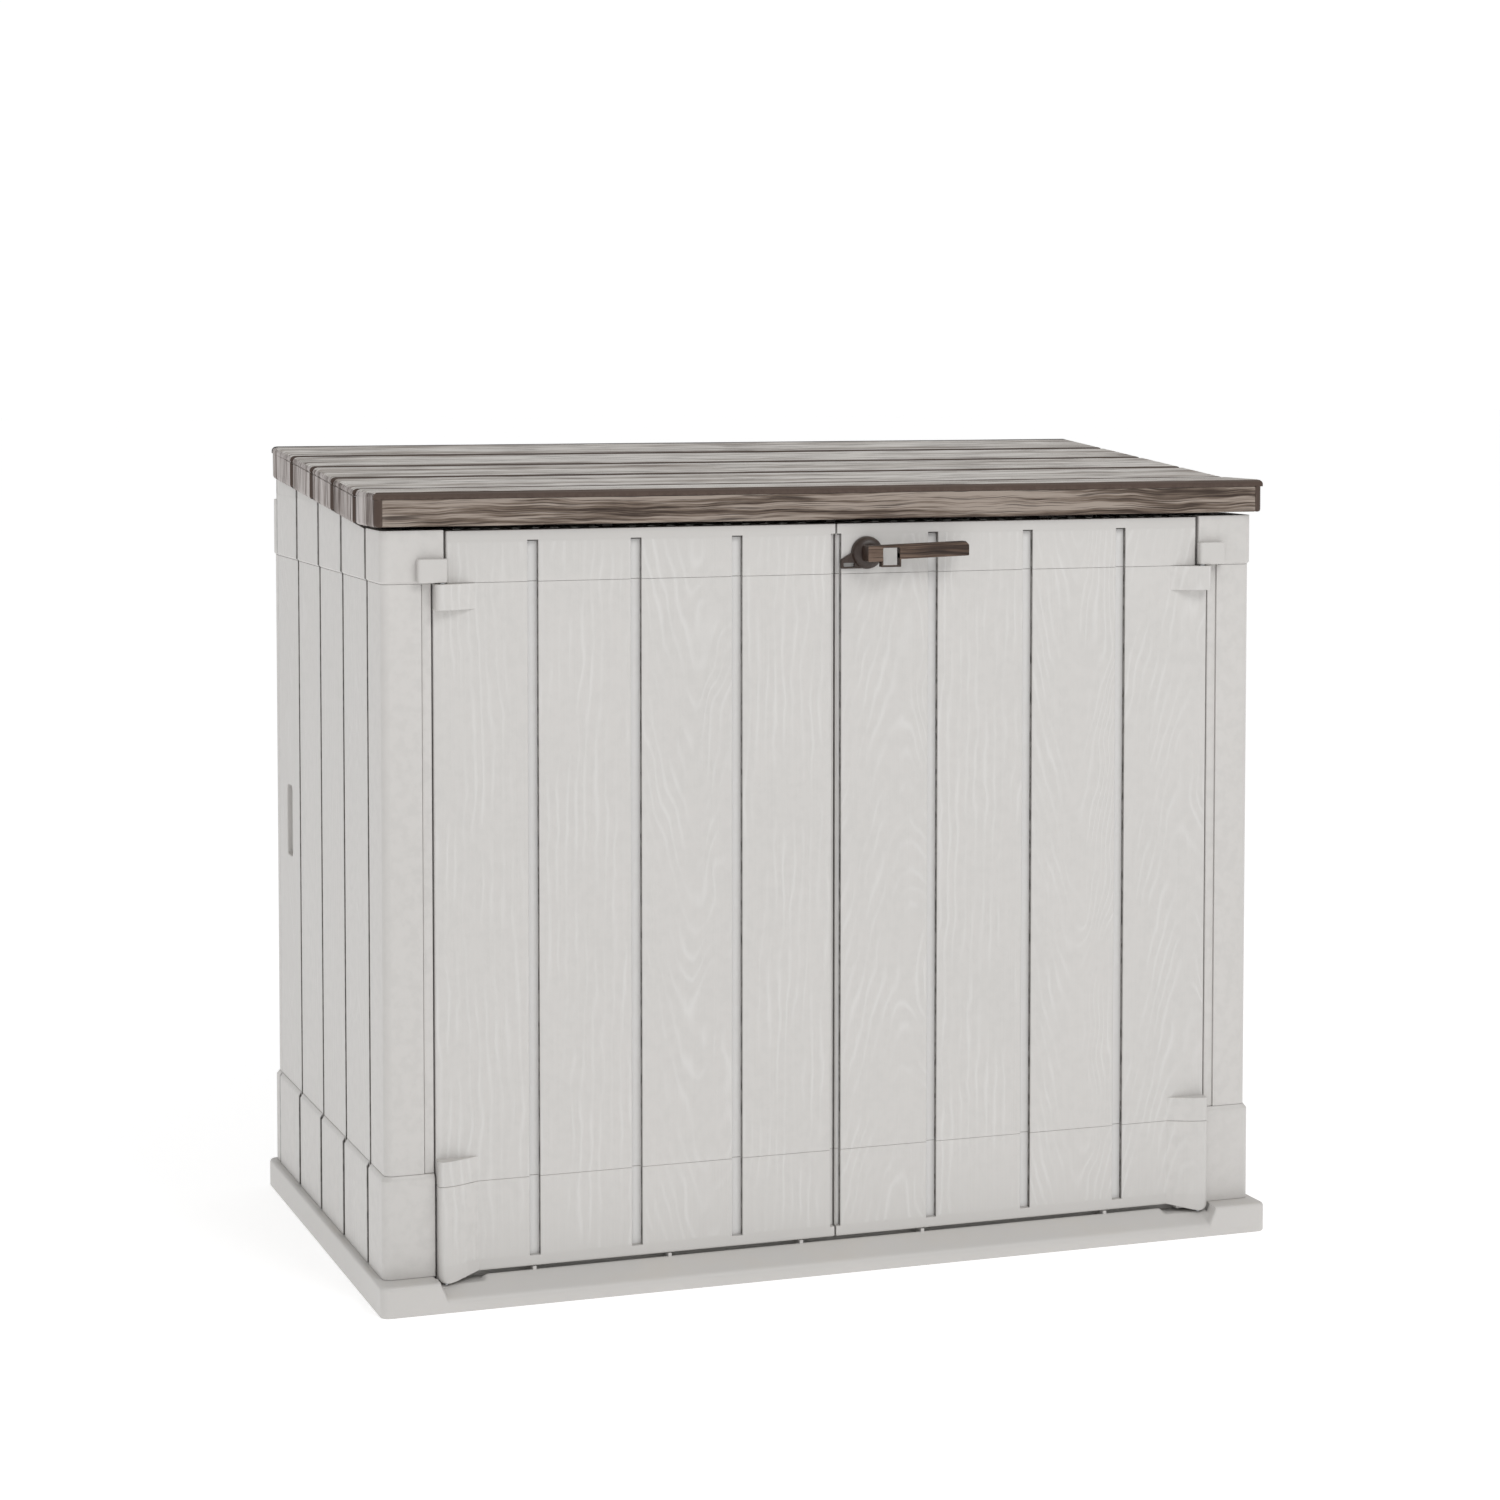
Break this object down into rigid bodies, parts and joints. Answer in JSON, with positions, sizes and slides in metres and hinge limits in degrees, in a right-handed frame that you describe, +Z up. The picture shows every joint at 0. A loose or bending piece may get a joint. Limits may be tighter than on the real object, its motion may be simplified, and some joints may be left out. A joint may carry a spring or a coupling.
{
  "type": "deck storage box",
  "caption": "Upright resin storage cupboard on a low plinth, with paired front doors, a lever handle and a sloping wood-look lid hinged at the back.",
  "frame": {"origin": "on the ground at the middle of the plinth's footprint", "axes": "+X to the right when facing the doors, +Y from the doors to the back, +Z up"},
  "size_m": [1.295, 0.745, 1.1197],
  "materials": {
    "shell_plastic": "moulded wood-grain relief with a soft sheen",
    "plinth_plastic": "plain moulded plastic, satin",
    "lid_wood_plastic": "weathered wood look, dry",
    "brown_plastic": "dark brown moulded plastic, satin",
    "zinc_steel": "zinc-plated steel"
  },
  "bodies": {
    "cabinet": {"base_plinth": "plinth_plastic", "left_wall_lower": "shell_plastic", "left_wall_middle": "shell_plastic", "left_wall_upper": "shell_plastic", "right_wall_lower": "shell_plastic", "right_wall_middle": "shell_plastic", "right_wall_upper": "shell_plastic", "rear_wall_lower": "shell_plastic", "rear_wall_middle": "shell_plastic", "rear_wall_upper": "shell_plastic", "front_post_left_lower": "shell_plastic", "front_post_left_middle": "shell_plastic", "front_post_left_upper": "shell_plastic", "front_post_right_lower": "shell_plastic", "front_post_right_middle": "shell_plastic", "front_post_right_upper": "shell_plastic", "front_top_rail": "shell_plastic", "rear_hinge_rail": "shell_plastic", "hinge_housing_left": "shell_plastic", "hinge_housing_right": "shell_plastic", "lid_hinge_bracket_left": "brown_plastic", "lid_hinge_bracket_centre": "brown_plastic", "lid_hinge_bracket_right": "brown_plastic", "upper_hinge_pin_left": "zinc_steel", "upper_hinge_pin_right": "zinc_steel", "lower_hinge_pin_left": "zinc_steel", "lower_hinge_pin_right": "zinc_steel", "lid_hinge_pin_left": "zinc_steel", "lid_hinge_pin_centre": "zinc_steel", "lid_hinge_pin_right": "zinc_steel"},
    "door_left": {"door_left_lower": "shell_plastic", "door_left_middle": "shell_plastic", "door_left_upper": "shell_plastic", "latch_keeper": "zinc_steel", "keeper_screw_upper": "zinc_steel", "keeper_screw_lower": "zinc_steel"},
    "door_right": {"door_right_lower": "shell_plastic", "door_right_middle": "shell_plastic", "door_right_upper": "shell_plastic", "handle_rosette": "brown_plastic", "latch_backplate": "zinc_steel", "backplate_screw_inner": "zinc_steel", "backplate_screw_outer": "zinc_steel"},
    "handle": {"handle_lever": "lid_wood_plastic", "handle_spindle": "zinc_steel", "latch_cam": "zinc_steel", "cam_screw": "zinc_steel"},
    "lid": {"lid_top_panel": "lid_wood_plastic", "lid_end_board_left": "lid_wood_plastic", "lid_end_board_right": "lid_wood_plastic", "lid_front_board": "lid_wood_plastic", "lid_rear_board": "lid_wood_plastic", "lid_rib_left": "brown_plastic", "lid_rib_centre": "brown_plastic", "lid_rib_right": "brown_plastic", "lid_hinge_knuckle_left": "brown_plastic", "lid_hinge_knuckle_centre": "brown_plastic", "lid_hinge_knuckle_right": "brown_plastic"}
  },
  "joints": [
    {"name": "door_left_hinge", "type": "hinge", "parent": "cabinet", "child": "door_left", "pos_m": [-0.5535, -0.3425, 0.5], "axis": [0, 0, -1], "range_deg": [0, 105]},
    {"name": "door_right_hinge", "type": "hinge", "parent": "cabinet", "child": "door_right", "pos_m": [0.5535, -0.3425, 0.5], "axis": [0, 0, 1], "range_deg": [0, 105]},
    {"name": "lid_hinge", "type": "hinge", "parent": "cabinet", "child": "lid", "pos_m": [0, 0.338, 1.088], "axis": [-1, 0, 0], "range_deg": [0, 95]},
    {"name": "handle_turn", "type": "hinge", "parent": "door_right", "child": "handle", "pos_m": [0.0435, -0.335, 0.9855], "axis": [0, 1, 0], "range_deg": [0, 90]}
  ]
}
